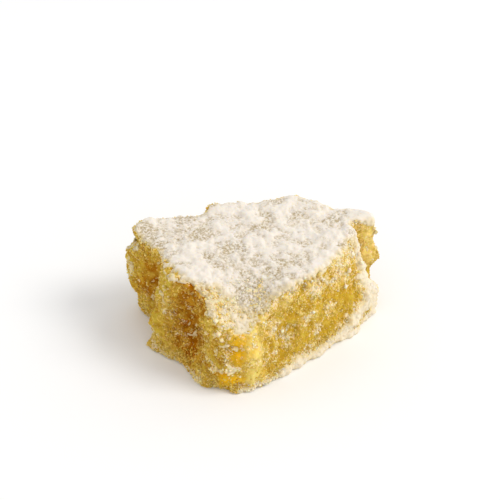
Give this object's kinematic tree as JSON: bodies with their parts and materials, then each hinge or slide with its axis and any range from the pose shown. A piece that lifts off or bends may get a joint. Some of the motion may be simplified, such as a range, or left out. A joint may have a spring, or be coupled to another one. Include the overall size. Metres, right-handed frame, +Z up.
{
  "type": "almond paste cookie",
  "caption": "Soft, thick almond paste cookie with a flat foot, torn crumbly sides and a sloping point, its top and foot dusted with icing sugar.",
  "frame": {"origin": "on the surface the cookie rests on, under the middle of its box", "axes": "+X along the cookie's length, +Y from its pressed-down point to its back edge, +Z up"},
  "size_m": [0.0526, 0.0384, 0.022],
  "materials": {
    "almond_paste": "moist golden almond paste, granular and slightly translucent",
    "icing_sugar": "matt powdered icing sugar, white to pale beige, in a thin clumping coat"
  },
  "bodies": {
    "root": {"almond_cookie": "almond_paste"}
  },
  "joints": []
}
